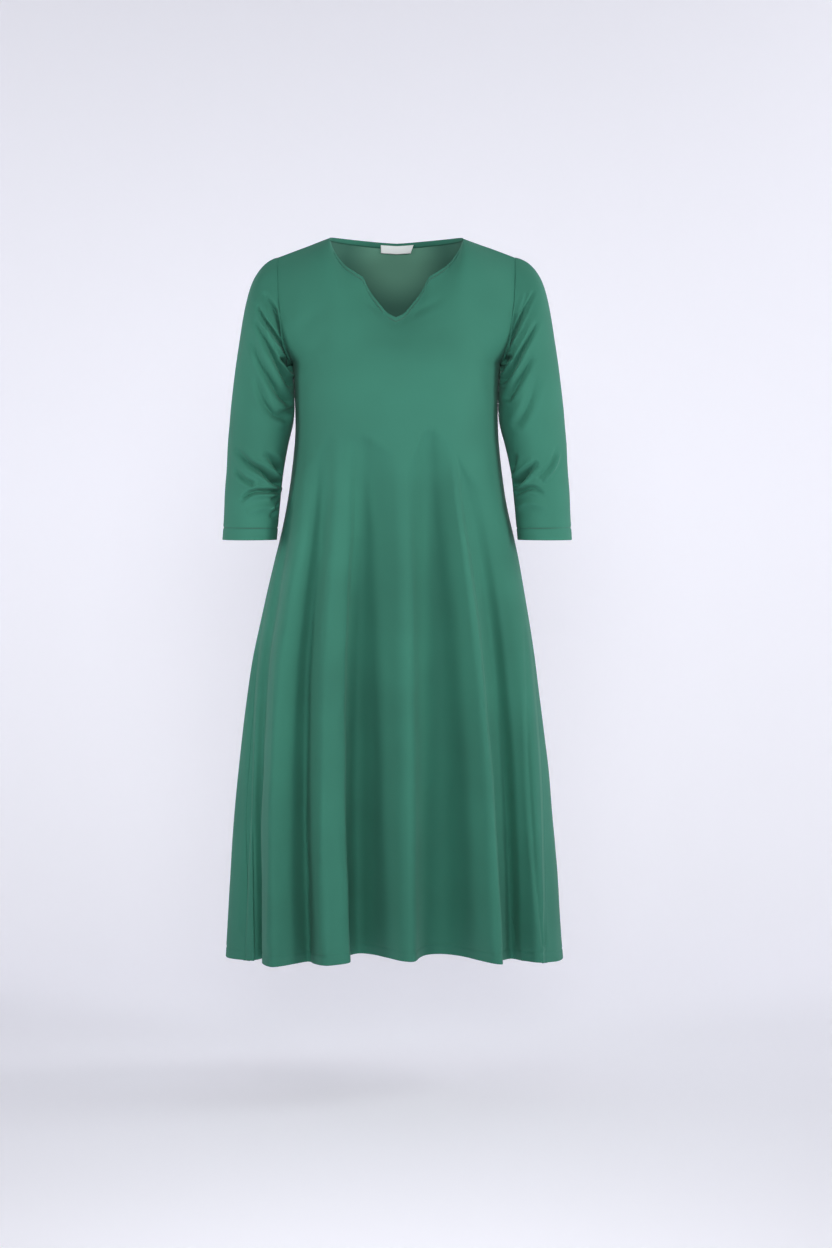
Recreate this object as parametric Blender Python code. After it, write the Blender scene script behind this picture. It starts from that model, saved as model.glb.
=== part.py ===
# A-line dress in its worn form: front and back panels cut in one from shoulder
# to hem, two set-in three-quarter sleeves and a bare label inside the back neck.
# Metres, +Z up, the front faces -Y, and the origin is midway between the two
# points where the shoulder seams meet the neckline.

import math

import bpy
import numpy as np

MM = 0.001

# Cloth and seams
WALL = 1.6 * MM
SEAM_GAP = 0.3 * MM
LABEL_WALL = 1.0 * MM
MITRE_LIMIT = 0.35
PLACE_STEP = 0.01 * MM

# Heights, as a drop below the neck points
UNDERARM_DROP = 190 * MM
HEM_DROP = 1081 * MM

# Neck and shoulders; the back neck rises beside the neck points, peaking at the
# given power of the way round
NECK_HALF_WIDTH = 100 * MM
BACK_NECK_DEPTH = 76 * MM
BACK_NECK_DROP = 4.3 * MM
BACK_NECK_RISE = 3.3 * MM
BACK_NECK_PEAK = 0.75
NECK_ANGLE = 55.0
ARMHOLE_BLEND_ANGLE = 52.0

# Body sections: how far each height reaches left, right, front and back
BODY_COLUMNS = ("drop", "left", "right", "front", "back")
BODY_ROWS = (
    (150, 158, 158, 106, 98),
    (190, 155, 155, 117, 99),
    (240, 152, 152, 126, 97),
    (288, 151, 152, 126, 92),
    (345, 156, 157, 122, 90),
    (400, 164, 165, 120, 93),
    (453, 175, 177, 121, 99),
    (513, 191, 190, 123, 107),
    (573, 205, 202, 126, 114),
    (633, 218, 212, 130, 120),
    (693, 227, 220, 133, 125),
    (783, 238, 231, 137, 131),
    (873, 247, 239, 140, 136),
    (963, 253, 245, 143, 140),
    (1085, 260, 252, 146, 144),
)

# The squareness of a body section, 0 for an ellipse
SQUARENESS = 0.035

# Bust: how far it stands out, its place and its spread
BUST_RISE = 5 * MM
BUST_HALF_SPACING = 84 * MM
BUST_DROP = 245 * MM
BUST_WIDTH = 40 * MM
BUST_HEIGHT = 55 * MM

# Skirt folds: where each point of the hem stands, the turn round the waist
# that it falls from, and the drop at which it starts to leave the plain section
FOLD_COLUMNS = ("turn", "x", "y", "drop", "start")
FRONT_FOLDS = (
    ("left seam", 0, -226, -46, 1080, 480),
    ("left flat", 12, -209, -54, 1078, 440),
    ("left recess", 22, -195, -56, 1076, 380),
    ("left edge", 27, -198, -98, 1075, 360),
    ("left crest", 33, -184, -135, 1074, 340),
    ("left lobe", 39, -168, -130, 1074, 330),
    ("left slope", 45, -148, -103, 1075, 320),
    ("left valley", 51, -128, -76, 1077, 310),
    ("step wall", 54, -122, -97, 1076, 300),
    ("step", 57, -109, -129, 1073, 300),
    ("step crest", 62, -90, -132, 1072, 300),
    ("inner edge", 66.5, -67, -113, 1071, 300),
    ("inner wall", 70, -72, -72, 1070.5, 300),
    ("inner recess", 74, -60, -42, 1071, 300),
    ("inner rise", 80, -37, -53, 1070, 310),
    ("centre rise", 86, -12, -92, 1068.5, 320),
    ("centre crest", 92, 13, -130, 1067, 330),
    ("centre side", 96, 29, -125, 1067.5, 330),
    ("centre step", 98.5, 35, -88, 1069, 330),
    ("right recess", 102.5, 47, -56, 1070, 300),
    ("right valley", 107.5, 74, -46, 1071, 290),
    ("right rise", 112, 101, -68, 1071, 300),
    ("right crest", 116, 126, -104, 1071, 305),
    ("right lobe", 118.5, 144, -126, 1071, 310),
    ("right edge", 121, 157, -118, 1073, 320),
    ("outer wall", 123, 154, -84, 1075, 335),
    ("outer valley", 126, 164, -51, 1078, 350),
    ("outer flat", 138, 188, -62, 1078, 370),
    ("outer crest", 152, 206, -76, 1078, 390),
    ("outer edge", 166, 218, -73, 1079, 430),
    ("right seam", 180, 223, -60, 1081, 480),
)
BACK_FOLDS = (
    ("right turn", 189, 242, -32, 1084, 480),
    ("right side", 200, 252, 4, 1085, 440),
    ("right flank", 212, 244, 42, 1084, 400),
    ("first recess", 222, 219, 64, 1082, 360),
    ("first rise", 229, 205, 86, 1080, 350),
    ("first crest", 236, 184, 126, 1078, 340),
    ("first lobe", 243, 158, 136, 1077, 330),
    ("first edge", 249, 129, 122, 1076, 320),
    ("second recess", 255, 112, 84, 1076, 310),
    ("second rise", 261, 90, 90, 1075, 310),
    ("second crest", 267, 64, 136, 1074, 320),
    ("second lobe", 273, 36, 148, 1073, 320),
    ("second edge", 278, 13, 134, 1073, 310),
    ("third recess", 283, 1, 92, 1073, 300),
    ("third rise", 289, -24, 90, 1073, 310),
    ("third crest", 295, -47, 132, 1074, 320),
    ("third lobe", 301, -78, 146, 1075, 330),
    ("third edge", 307, -108, 136, 1076, 320),
    ("fourth recess", 313, -126, 94, 1077, 310),
    ("fourth rise", 320, -151, 90, 1078, 320),
    ("fourth crest", 327, -180, 116, 1079, 340),
    ("fourth lobe", 335, -209, 104, 1081, 370),
    ("left flank", 344, -241, 62, 1083, 420),
    ("left side", 351, -259, 18, 1083, 450),
    ("left turn", 356, -252, -18, 1082, 480),
)
FOLD_FULLNESS = 0.65
HEM_LAP = 3

# The share of the skirt below the underarm that sets how the chest leaves it
CHEST_LEAVE = 0.02

# Armholes, from the underarm up to the shoulder tip: front and back
ARMHOLE_COLUMNS = ("rise", "x", "y", "drop")
FRONT_ARMHOLE = (
    (0.00, 155.0, 0.0, 190),
    (0.10, 156.0, -20.0, 185.5),
    (0.20, 160.5, -37.0, 172),
    (0.35, 166.0, -48.5, 151),
    (0.50, 170.0, -51.0, 127),
    (0.65, 173.5, -46.0, 101),
    (0.80, 176.0, -33.0, 73),
    (0.90, 177.0, -17.0, 51),
    (1.00, 177.0, 6.0, 31),
)
BACK_ARMHOLE = (
    (0.00, 155.0, 0.0, 190),
    (0.10, 156.0, 20.0, 185),
    (0.20, 160.0, 38.0, 170),
    (0.35, 165.0, 51.0, 146),
    (0.50, 168.5, 57.0, 120),
    (0.65, 172.0, 56.0, 93),
    (0.80, 175.0, 47.0, 66),
    (0.90, 176.5, 31.0, 46),
    (1.00, 177.0, 6.0, 31),
)

# Front neckline from the neck point to the foot of the notch, with the lean of
# the cloth back from the vertical where it meets the edge
NECK_COLUMNS = ("angle", "x", "y", "drop", "lean")
NECK_SIDE = (
    (55.0, 100.0, 0.0, 0, 74),
    (60.5, 91.5, -22.0, 25, 62),
    (66.5, 76.0, -40.0, 46, 50),
    (71.0, 60.0, -50.5, 57.5, 43),
    (74.0, 49.0, -55.5, 64.5, 40),
)
NECK_NOTCH = (
    (74.0, 49.0, -55.5, 64.5, 40),
    (78.5, 38.0, -65.0, 87, 36),
    (83.0, 24.0, -73.0, 106, 33),
    (87.0, 11.0, -78.5, 118, 31),
    (90.0, 0.0, -81.0, 122.5, 30),
)
SHOULDER_LEAN = 82.0
BACK_CENTRE_LEAN = 14.0

# Sleeve sections from the upper arm to the cuff: how far out each one starts
# and ends, its middle and half depth, and how far its body side hangs lower
SLEEVE_COLUMNS = ("drop", "outer", "inner", "middle", "depth", "slant")
SLEEVE_ROWS = (
    (176, 230.5, 154.6, -8, 58, 38),
    (215, 237.5, 151.5, -19, 57, 28),
    (255, 243.5, 154.0, -23, 55, 19),
    (300, 249.0, 161.5, -24, 53, 11),
    (345, 252.5, 168.0, -24, 51, 6),
    (400, 256.0, 173.5, -25, 49, 2),
    (452, 259.0, 178.0, -27, 47.5, 0),
)

# How the sleeve leaves the armhole and arrives at its first section, at the
# underarm and at the shoulder tip
CAP_START_UNDER = (16 * MM, 4 * MM)
CAP_START_TOP = (86 * MM, 20 * MM)
CAP_START_FRONT = 12 * MM
CAP_END_UNDER = 22 * MM
CAP_END_TOP = 200 * MM
CAP_END_STEP = 4 * MM

# Sleeve creases: a trough from one place to another, each an angle round the
# arm and a drop, with its depth and half width
GIRTH_PER_DEGREE = 0.85 * MM
CREASE_COLUMNS = ("turn_a", "drop_a", "turn_b", "drop_b", "depth", "width")
RIGHT_SLEEVE_CREASES = (
    ("elbow fold", 150, 318, 25, 372, 7.0, 12),
    ("cap fold", 125, 105, 40, 200, 5.0, 13),
    ("back elbow fold", 215, 322, 320, 356, 6.0, 14),
)
LEFT_SLEEVE_CREASES = (
    ("elbow fold", 150, 312, 75, 356, 6.0, 12),
    ("cap fold", 130, 100, 45, 205, 5.0, 13),
    ("back elbow fold", 210, 330, 315, 364, 6.0, 14),
)

# Label inside the back neck, from its -X end to its +X end
LABEL_TURNS = (275.65, 273.0, 270.0, 267.0, 264.35)
LABEL_TOP = 3 * MM
LABEL_HEIGHT = 13 * MM
LABEL_ROWS = 3
LABEL_GAP = 0.5 * MM

# Mesh: columns to a quarter of the body, rows and sleeve rows
SHOULDER_STEPS = 16
BODY_DROPS = (190, 214, 240, 265, 291, 325, 368, 420, 480, 550, 635, 730, 835, 950, 1081)
CHEST_STEPS = 10
CAP_STEPS = 5
SLEEVE_DROPS = (176, 200, 225, 252, 280, 305, 325, 345, 365, 392, 422, 452)

# Finishes: colours as linear red, green and blue, and roughness
EMERALD = (0.045, 0.205, 0.150)
LABEL_WHITE = (0.62, 0.63, 0.66)
JERSEY_ROUGHNESS = 0.72
SATIN_ROUGHNESS = 0.45
SMOOTH_UP_TO = math.radians(50)


def column_table(columns, rows):
    """Named columns of a table whose rows may start with a name."""
    skip = len(rows[0]) - len(columns)
    values = np.array([row[skip:] for row in rows], dtype=float)
    return dict(zip(columns, values.T))


def curve(knots, values, at):
    """A smooth curve through the values at the knots, read at other places."""
    knots = np.asarray(knots, dtype=float)
    values = np.asarray(values, dtype=float)
    slopes = np.gradient(values, knots, axis=0)
    place = np.clip(np.asarray(at, dtype=float), knots[0], knots[-1])
    low = np.clip(np.searchsorted(knots, place, side="right") - 1, 0, len(knots) - 2)
    step = knots[low + 1] - knots[low]
    t = (place - knots[low]) / step
    if values.ndim > 1:
        t = t[..., None]
        step = step[..., None]
    start = values[low] * (2 * t**3 - 3 * t**2 + 1)
    end = values[low + 1] * (3 * t**2 - 2 * t**3)
    leave = slopes[low] * step * (t**3 - 2 * t**2 + t)
    arrive = slopes[low + 1] * step * (t**3 - t**2)
    return start + end + leave + arrive


def hermite(start, end, leave, arrive, t):
    """Points along a cubic from start to end with the given end directions."""
    return (
        start * (2 * t**3 - 3 * t**2 + 1)
        + end * (3 * t**2 - 2 * t**3)
        + leave * (t**3 - 2 * t**2 + t)
        + arrive * (t**3 - t**2)
    )


BODY = column_table(BODY_COLUMNS, BODY_ROWS)
SLEEVE = column_table(SLEEVE_COLUMNS, SLEEVE_ROWS)


def body_size(name, drop):
    """One size of the body section at a drop, both in metres."""
    return curve(BODY["drop"] * MM, BODY[name] * MM, drop)


def quarter(face, turn):
    """The side (-1 is -X) and the angle from the side seam on one face."""
    within = turn if face < 0 else 360.0 - turn
    side = np.where(within <= 90.0, -1.0, 1.0)
    angle = np.where(within <= 90.0, within, 180.0 - within)
    return side, angle


def plain_section(face, turn, drop):
    """The body without folds: a squared ellipse with a soft bust in front."""
    side, angle = quarter(face, turn)
    radians = np.radians(angle)
    across = (1 + SQUARENESS) * np.cos(radians) - SQUARENESS * np.cos(3 * radians)
    out = (1 + SQUARENESS) * np.sin(radians) + SQUARENESS * np.sin(3 * radians)
    width = np.where(side < 0, body_size("left", drop), body_size("right", drop))
    x = side * width * across
    y = face * body_size("front" if face < 0 else "back", drop) * out
    if face < 0:
        bust = np.exp(-(((np.abs(x) - BUST_HALF_SPACING) / BUST_WIDTH) ** 2))
        bust = bust * np.exp(-(((drop - BUST_DROP) / BUST_HEIGHT) ** 2))
        y = y - BUST_RISE * bust * out
    return np.stack([x, y, -drop + 0.0 * x], axis=-1)


def hem_table():
    """The hem's points round the whole dress, with both ends lapped over."""
    folds = column_table(FOLD_COLUMNS, FRONT_FOLDS + BACK_FOLDS)
    turns = folds["turn"]
    turns = np.concatenate([turns[-HEM_LAP:] - 360.0, turns, turns[:HEM_LAP] + 360.0])
    points = np.stack([folds["x"], folds["y"], -folds["drop"], folds["start"]], axis=-1) * MM
    points = np.concatenate([points[-HEM_LAP:], points, points[:HEM_LAP]])
    return turns, points


HEM_TURNS, HEM_POINTS = hem_table()


def skirt_point(face, turn, fall):
    """A point of the body from the underarm (fall 0) to the hem (fall 1)."""
    hem = curve(HEM_TURNS, HEM_POINTS, np.mod(turn, 360.0))
    hem_drop = -hem[..., 2]
    drop = UNDERARM_DROP + fall * (hem_drop - UNDERARM_DROP)
    plain = plain_section(face, turn, drop)
    plain_hem = plain_section(face, turn, hem_drop)
    start = hem[..., 3]
    grown = np.clip((drop - start) / (hem_drop - start), 0.0, 1.0)
    shift = hem[..., :2] - plain_hem[..., :2]
    plain[..., 0] += shift[..., 0] * grown
    plain[..., 1] += shift[..., 1] * grown**FOLD_FULLNESS
    return plain


def armhole(face, rise):
    """The armhole edge on the +X side; face -1 is the front edge."""
    rows = FRONT_ARMHOLE if face < 0 else BACK_ARMHOLE
    table = column_table(ARMHOLE_COLUMNS, rows)
    points = np.stack([table["x"], table["y"], -table["drop"]], axis=-1) * MM
    return curve(table["rise"], points, rise)


def top_edge(face, angle):
    """The shoulder seam and neckline on the +X side, with the cloth's lean."""
    tip = armhole(face, np.array(1.0))
    along = np.clip(angle / NECK_ANGLE, 0.0, 1.0)
    neck_point = np.array([NECK_HALF_WIDTH, 0.0, 0.0])
    points = tip + along[..., None] * (neck_point - tip)
    if face < 0:
        neck_lean = column_table(NECK_COLUMNS, NECK_SIDE)["lean"][0]
        lean = SHOULDER_LEAN + along * (neck_lean - SHOULDER_LEAN)
        for rows in (NECK_SIDE, NECK_NOTCH):
            table = column_table(NECK_COLUMNS, rows)
            edge = np.stack([table["x"], table["y"], -table["drop"]], axis=-1) * MM
            inside = (angle > rows[0][0]) & (angle <= rows[-1][0])
            points = np.where(inside[..., None], curve(table["angle"], edge, angle), points)
            lean = np.where(inside, curve(table["angle"], table["lean"], angle), lean)
        return points, lean
    turned = np.clip((angle - NECK_ANGLE) / (90.0 - NECK_ANGLE), 0.0, 1.0)
    quarter_turn = np.radians(90.0 * turned)
    rise = BACK_NECK_RISE * np.sin(math.pi * turned**BACK_NECK_PEAK)
    neck = np.stack(
        [
            NECK_HALF_WIDTH * np.cos(quarter_turn),
            BACK_NECK_DEPTH * np.sin(quarter_turn),
            rise - BACK_NECK_DROP * np.sin(quarter_turn) ** 2,
        ],
        axis=-1,
    )
    points = np.where((angle > NECK_ANGLE)[..., None], neck, points)
    lean = SHOULDER_LEAN + turned**0.5 * (BACK_CENTRE_LEAN - SHOULDER_LEAN)
    return points, lean


def chest_point(face, turn, rise):
    """A point of the body from the underarm (rise 0) to its top edge (rise 1)."""
    side, angle = quarter(face, turn)
    start = skirt_point(face, turn, 0.0)
    below = skirt_point(face, turn, CHEST_LEAVE)
    start[..., 0] *= side
    below[..., 0] *= side
    end, lean = top_edge(face, angle)
    reach = np.linalg.norm(end - start, axis=-1)[..., None]
    leave = (start - below) / np.linalg.norm(start - below, axis=-1)[..., None] * reach
    back = -face * np.sin(np.radians(lean))
    arrive = np.stack([0 * lean, back, np.cos(np.radians(lean))], axis=-1) * reach
    surface = hermite(start, end, leave, arrive, rise)
    seam_start = armhole(face, np.array(0.0))
    seam_end = armhole(face, np.array(1.0))
    seam_reach = np.linalg.norm(seam_end - seam_start)
    seam_leave = np.array([0.0, 0.0, seam_reach])
    seam_arrive = np.array([0.0, -face * seam_reach, 0.0])
    seam = armhole(face, np.array(rise))
    pull = seam - hermite(seam_start, seam_end, seam_leave, seam_arrive, rise)
    near = np.clip(1.0 - angle / ARMHOLE_BLEND_ANGLE, 0.0, 1.0)
    surface = surface + (near**2 * (3 - 2 * near))[..., None] * pull
    surface[angle == 0.0] = seam
    surface[..., 0] *= side
    return surface


def sleeve_section(around, drop):
    """A sleeve ring on the +X side; around 0 is the body side, 90 the front."""
    size = {name: curve(SLEEVE["drop"] * MM, SLEEVE[name] * MM, drop) for name in SLEEVE_COLUMNS}
    radians = np.radians(around)
    middle_x = (size["outer"] + size["inner"]) / 2
    half_width = (size["outer"] - size["inner"]) / 2
    return np.stack(
        [
            middle_x - half_width * np.cos(radians),
            size["middle"] - size["depth"] * np.sin(radians),
            -drop - size["slant"] * np.cos(radians),
        ],
        axis=-1,
    )


def sleeve_cap(around, t):
    """A point between the armhole (t 0) and the first section (t 1), +X side."""
    front = armhole(-1, np.clip(around / 180.0, 0.0, 1.0))
    back = armhole(1, np.clip((360.0 - around) / 180.0, 0.0, 1.0))
    start = np.where((around <= 180.0)[..., None], front, back)
    first = SLEEVE["drop"][0] * MM + 0.0 * around
    end = sleeve_section(around, first)
    below = sleeve_section(around, first + CAP_END_STEP)
    radians = np.radians(around)
    top = (1 - np.cos(radians)) / 2
    outward = CAP_START_UNDER[0] + top * (CAP_START_TOP[0] - CAP_START_UNDER[0])
    downward = CAP_START_UNDER[1] + top * (CAP_START_TOP[1] - CAP_START_UNDER[1])
    leave = np.stack([outward, -CAP_START_FRONT * np.sin(radians), -downward], axis=-1)
    length = CAP_END_UNDER + top * (CAP_END_TOP - CAP_END_UNDER)
    arrive = (below - end) / np.linalg.norm(below - end, axis=-1)[..., None]
    arrive = arrive * length[..., None]
    return hermite(start, end, leave, arrive, t[..., None])


def crease_depth(around, drop, creases):
    """How far the creases press the sleeve in at each place."""
    table = column_table(CREASE_COLUMNS, creases)
    depth = np.zeros(np.shape(around))
    for row in range(len(creases)):
        crease = {name: values[row] for name, values in table.items()}
        a = np.array([crease["turn_a"] * GIRTH_PER_DEGREE, crease["drop_a"] * MM])
        b = np.array([crease["turn_b"] * GIRTH_PER_DEGREE, crease["drop_b"] * MM])
        place = np.stack([around * GIRTH_PER_DEGREE, drop], axis=-1)
        along = np.clip((place - a) @ (b - a) / ((b - a) @ (b - a)), 0.0, 1.0)
        away = np.linalg.norm(place - a - along[..., None] * (b - a), axis=-1)
        depth += crease["depth"] * MM * np.exp(-((away / (crease["width"] * MM)) ** 2))
    return depth


def body_columns(face):
    """Turns of a panel's columns from its left seam to its right seam."""
    table = column_table(NECK_COLUMNS, NECK_SIDE + NECK_NOTCH[1:])
    quarter_angles = np.concatenate(
        [np.linspace(0.0, NECK_ANGLE, SHOULDER_STEPS + 1), table["angle"][1:]]
    )
    turns = np.concatenate([quarter_angles, 180.0 - quarter_angles[-2::-1]])
    return turns if face < 0 else 360.0 - turns


def panel_grid(face):
    """Rows of points from the hem up to the shoulders and neckline."""
    turns = body_columns(face)
    hem_drops = np.array(BODY_DROPS) * MM
    falls = (hem_drops - UNDERARM_DROP) / (HEM_DROP - UNDERARM_DROP)
    rows = [skirt_point(face, turns, fall) for fall in falls[::-1]]
    rises = np.linspace(0.0, 1.0, CHEST_STEPS + 1)[1:]
    rows += [chest_point(face, turns, rise) for rise in rises]
    return np.array(rows)


def sleeve_grid(side, creases):
    """Rings of points from the armhole down to the cuff."""
    around = np.linspace(0.0, 360.0, 2 * CHEST_STEPS, endpoint=False)
    rings = []
    for t in np.linspace(0.0, 1.0, CAP_STEPS + 1)[:-1]:
        rings.append(sleeve_cap(around, np.full(around.shape, t)))
    for drop in np.array(SLEEVE_DROPS) * MM:
        rings.append(sleeve_section(around, np.full(around.shape, drop)))
    rings = np.array(rings)
    middle = rings.mean(axis=1, keepdims=True)
    inward = middle - rings
    inward[..., 2] = 0.0
    inward /= np.linalg.norm(inward, axis=-1, keepdims=True)
    turns = np.broadcast_to(around, rings.shape[:2])
    pressed = crease_depth(turns, -rings[..., 2], creases)
    pressed[0] = 0.0
    rings = rings + inward * pressed[..., None]
    rings[..., 0] *= side
    return rings


def grid_faces(rows, columns, closed, flipped):
    """Four-sided faces over a grid of points, row by row."""
    faces = []
    for row in range(rows - 1):
        for column in range(columns if closed else columns - 1):
            right = (column + 1) % columns
            face = (
                row * columns + column,
                row * columns + right,
                (row + 1) * columns + right,
                (row + 1) * columns + column,
            )
            faces.append(face[::-1] if flipped else face)
    return faces


def point_key(point):
    """A name for a place, the same for the pieces that share it."""
    return tuple(np.round(np.asarray(point) / PLACE_STEP).astype(int))


def boundary_edges(faces):
    """Edges that belong to one face only, in that face's direction."""
    edges = {}
    for face in faces:
        for start, end in zip(face, face[1:] + face[:1]):
            edges[(start, end)] = face
    return {edge: face for edge, face in edges.items() if edge[::-1] not in edges}


def inward_steps(pieces):
    """The step from outer to inner skin at each place, for a wall of 1 unit.

    Where two pieces meet at an angle the step is longer, so both keep their wall.
    """
    normals = {}
    for name, (points, faces) in pieces.items():
        for face in faces:
            a, b, c, d = (points[index] for index in face)
            normal = np.cross(c - a, d - b)
            for index in face:
                here = normals.setdefault(point_key(points[index]), {})
                here[name] = here.get(name, 0.0) + normal
    steps = {}
    for key, here in normals.items():
        outward = np.array([normal / np.linalg.norm(normal) for normal in here.values()])
        steps[key] = -(np.linalg.pinv(outward, rcond=MITRE_LIMIT) @ np.ones(len(outward)))
    return steps


def seam_places(pieces):
    """Pairs of places that are an edge of two different pieces."""
    owners = {}
    for name, (points, faces) in pieces.items():
        for start, end in boundary_edges(faces):
            pair = frozenset([point_key(points[start]), point_key(points[end])])
            owners.setdefault(pair, set()).add(name)
    return {pair for pair, names in owners.items() if len(names) > 1}


def drawn_back(points, faces, steps, seams):
    """The piece's points with each seam edge drawn back by half the seam gap."""
    pulls = {}
    for (start, end), face in boundary_edges(faces).items():
        pair = frozenset([point_key(points[start]), point_key(points[end])])
        if pair not in seams:
            continue
        along = points[end] - points[start]
        middle = np.mean([points[index] for index in face], axis=0)
        for index in (start, end):
            inward = np.cross(steps[point_key(points[index])], along)
            inward /= np.linalg.norm(inward)
            if inward @ (middle - points[start]) < 0:
                inward = -inward
            pulls.setdefault(index, []).append(inward)
    moved = points.copy()
    for index, directions in pulls.items():
        wanted = np.full(len(directions), SEAM_GAP / 2)
        moved[index] += np.linalg.pinv(np.array(directions), rcond=MITRE_LIMIT) @ wanted
    return moved


def cloth_wall(points, faces, steps, thickness):
    """Both skins of a piece of cloth and the rims that join them."""
    inner = points + steps * thickness
    count = len(points)
    inner_faces = [tuple(index + count for index in face[::-1]) for face in faces]
    rims = [(end, start, start + count, end + count) for start, end in boundary_edges(faces)]
    return np.concatenate([points, inner]), faces + inner_faces + rims


def cloth_material(name, colour, roughness):
    """A plain cloth finish."""
    material = bpy.data.materials.new(name)
    material.use_nodes = True
    shader = material.node_tree.nodes["Principled BSDF"]
    shader.inputs["Base Color"].default_value = (*colour, 1.0)
    shader.inputs["Roughness"].default_value = roughness
    shader.inputs["Metallic"].default_value = 0.0
    material.diffuse_color = (*colour, 1.0)
    return material


def add_piece(name, points, faces, material):
    """One named object from its points and faces."""
    mesh = bpy.data.meshes.new(name)
    mesh.from_pydata([tuple(point) for point in points], [], faces)
    mesh.materials.append(material)
    mesh.shade_smooth()
    mesh.set_sharp_from_angle(angle=SMOOTH_UP_TO)
    mesh.update()
    piece = bpy.data.objects.new(name, mesh)
    bpy.context.scene.collection.objects.link(piece)
    return piece


def between_columns(row, turns, at):
    """Places along a row of points, read between its columns."""
    order = np.argsort(turns)
    ordered = np.asarray(row)[order]
    return np.stack([np.interp(at, turns[order], ordered[:, axis]) for axis in range(3)], axis=-1)


def label_grid(back_rows, turns, steps):
    """Points of the label on the inside of the back panel, below its neck edge."""
    upper_rows = [back_rows[row] for row in (-1, -2, -3)]
    step_rows = [[steps[point_key(point)] for point in row] for row in upper_rows]
    places = [between_columns(row, turns, LABEL_TURNS) for row in upper_rows]
    inward = [between_columns(row, turns, LABEL_TURNS) for row in step_rows]
    first = np.linalg.norm(places[1] - places[0], axis=-1)
    second = np.linalg.norm(places[2] - places[1], axis=-1)
    rows = []
    directions = []
    for down in np.linspace(LABEL_TOP, LABEL_TOP + LABEL_HEIGHT, LABEL_ROWS):
        upper = np.clip(down / first, 0.0, 1.0)[:, None]
        lower = np.clip((down - first) / second, 0.0, 1.0)[:, None]
        place, step = (
            kind[0] + upper * (kind[1] - kind[0]) + lower * (kind[2] - kind[1])
            for kind in (places, inward)
        )
        rows.append(place + step * (WALL + LABEL_GAP))
        directions.append(step)
    return np.array(rows), np.array(directions)


def build_dress():
    """All the pieces of the dress, each its own object."""
    back = panel_grid(1)
    grids = {
        "front_panel": (panel_grid(-1), False, False),
        "back_panel": (back, False, True),
        "right_sleeve": (sleeve_grid(-1, RIGHT_SLEEVE_CREASES), True, False),
        "left_sleeve": (sleeve_grid(1, LEFT_SLEEVE_CREASES), True, True),
    }
    pieces = {}
    for name, (grid, closed, flipped) in grids.items():
        rows, columns = grid.shape[:2]
        pieces[name] = (grid.reshape(-1, 3), grid_faces(rows, columns, closed, flipped))
    steps = inward_steps(pieces)
    seams = seam_places(pieces)
    for name, (points, faces) in pieces.items():
        piece_steps = np.array([steps[point_key(point)] for point in points])
        moved = drawn_back(points, faces, steps, seams)
        skin, walls = cloth_wall(moved, faces, piece_steps, WALL)
        jersey = cloth_material(name + "_jersey", EMERALD, JERSEY_ROUGHNESS)
        add_piece(name, skin, walls, jersey)
    label, directions = label_grid(back, body_columns(1), steps)
    faces = grid_faces(*label.shape[:2], False, False)
    skin, walls = cloth_wall(label.reshape(-1, 3), faces, directions.reshape(-1, 3), LABEL_WALL)
    add_piece("neck_label", skin, walls, cloth_material("label_satin", LABEL_WHITE, SATIN_ROUGHNESS))


for leftover in list(bpy.data.objects):
    bpy.data.objects.remove(leftover, do_unlink=True)
build_dress()
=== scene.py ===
import math

import bmesh
import bpy
import numpy as np
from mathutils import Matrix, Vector, noise


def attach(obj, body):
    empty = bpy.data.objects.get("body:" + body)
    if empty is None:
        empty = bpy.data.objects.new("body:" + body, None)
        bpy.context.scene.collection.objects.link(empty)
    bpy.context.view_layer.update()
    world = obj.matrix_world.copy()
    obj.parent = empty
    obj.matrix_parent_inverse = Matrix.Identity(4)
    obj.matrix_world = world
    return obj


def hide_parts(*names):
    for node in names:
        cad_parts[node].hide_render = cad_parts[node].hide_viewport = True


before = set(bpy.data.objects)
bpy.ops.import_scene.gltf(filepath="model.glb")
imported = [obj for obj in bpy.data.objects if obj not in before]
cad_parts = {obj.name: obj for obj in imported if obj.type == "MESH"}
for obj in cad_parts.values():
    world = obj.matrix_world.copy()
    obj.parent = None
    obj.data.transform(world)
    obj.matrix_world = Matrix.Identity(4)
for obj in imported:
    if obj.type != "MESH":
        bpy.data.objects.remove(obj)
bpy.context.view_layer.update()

mm = 0.001

# sizes that every piece of the dress shares

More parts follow.
